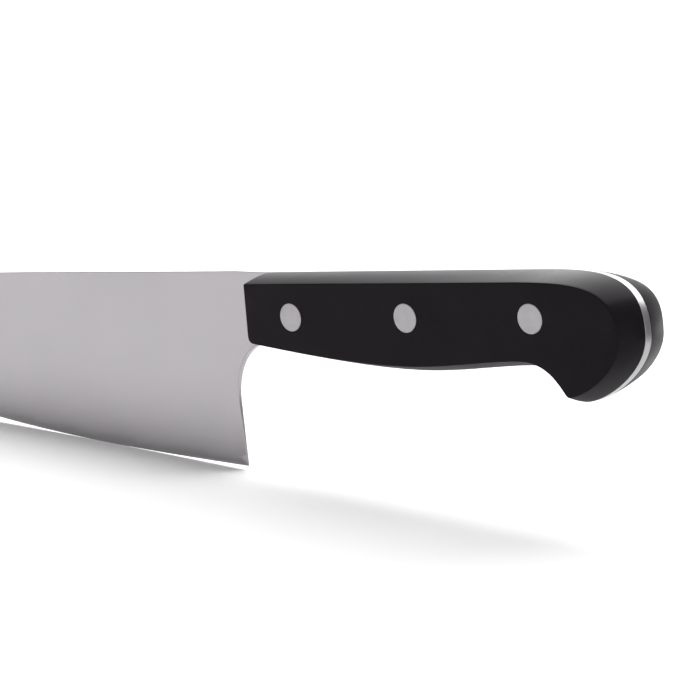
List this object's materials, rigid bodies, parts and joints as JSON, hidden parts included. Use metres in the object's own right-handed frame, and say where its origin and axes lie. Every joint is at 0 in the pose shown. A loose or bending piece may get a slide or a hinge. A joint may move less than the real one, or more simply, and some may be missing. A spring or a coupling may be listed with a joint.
{
  "type": "chef knife",
  "caption": "Full-tang chef's knife: broad tapering steel blade, black riveted handle scales with a hooked butt.",
  "frame": {"origin": "under the middle of the knife's length, in its middle plane, level with the heel corner of the edge", "axes": "+X from the tip to the butt, +Z from the edge to the spine, -Y out of the face with the tip to the viewer's left"},
  "size_m": [0.3282, 0.0194, 0.0508],
  "materials": {
    "blade_steel": "satin, ground from spine to edge",
    "scale_plastic": "fine satin",
    "rivet_steel": "fine satin, ground flush with the scales"
  },
  "bodies": {
    "root": {"blade": "blade_steel", "left_scale": "scale_plastic", "right_scale": "scale_plastic", "front_rivet_pin": "rivet_steel", "front_rivet_tube": "rivet_steel", "middle_rivet_pin": "rivet_steel", "middle_rivet_tube": "rivet_steel", "rear_rivet_pin": "rivet_steel", "rear_rivet_tube": "rivet_steel"}
  },
  "joints": []
}
